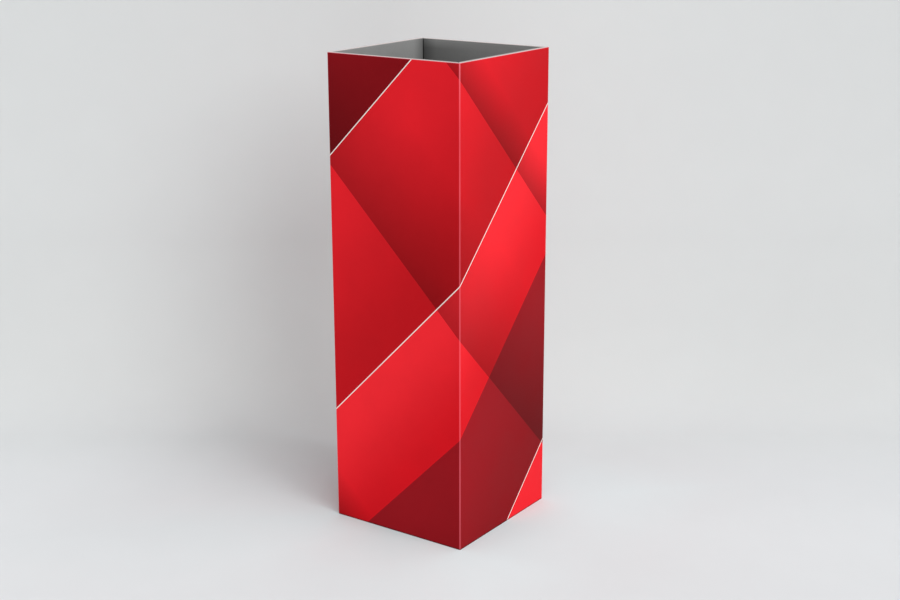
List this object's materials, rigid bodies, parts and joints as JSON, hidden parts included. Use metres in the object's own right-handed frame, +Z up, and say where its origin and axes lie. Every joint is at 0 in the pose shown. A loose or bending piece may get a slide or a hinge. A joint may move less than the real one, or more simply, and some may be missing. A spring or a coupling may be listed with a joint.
{
  "type": "cardboard display stand",
  "caption": "Tall square display stand folded from one thick printed board, an upright tube open at the top and bottom, with rounded outer folds.",
  "frame": {"origin": "middle of the footprint, on the surface that the stand rests on", "axes": "+Z up along the tube, +X to the right and +Y to the back, square to the panels; the front panel faces -Y and the glued corner is at -X, +Y"},
  "size_m": [0.4, 0.4, 1.24],
  "materials": {
    "printed_board": "satin printed liner outside, grey liner inside, pale cut rims"
  },
  "bodies": {
    "root": {"sleeve": "printed_board"}
  },
  "joints": []
}
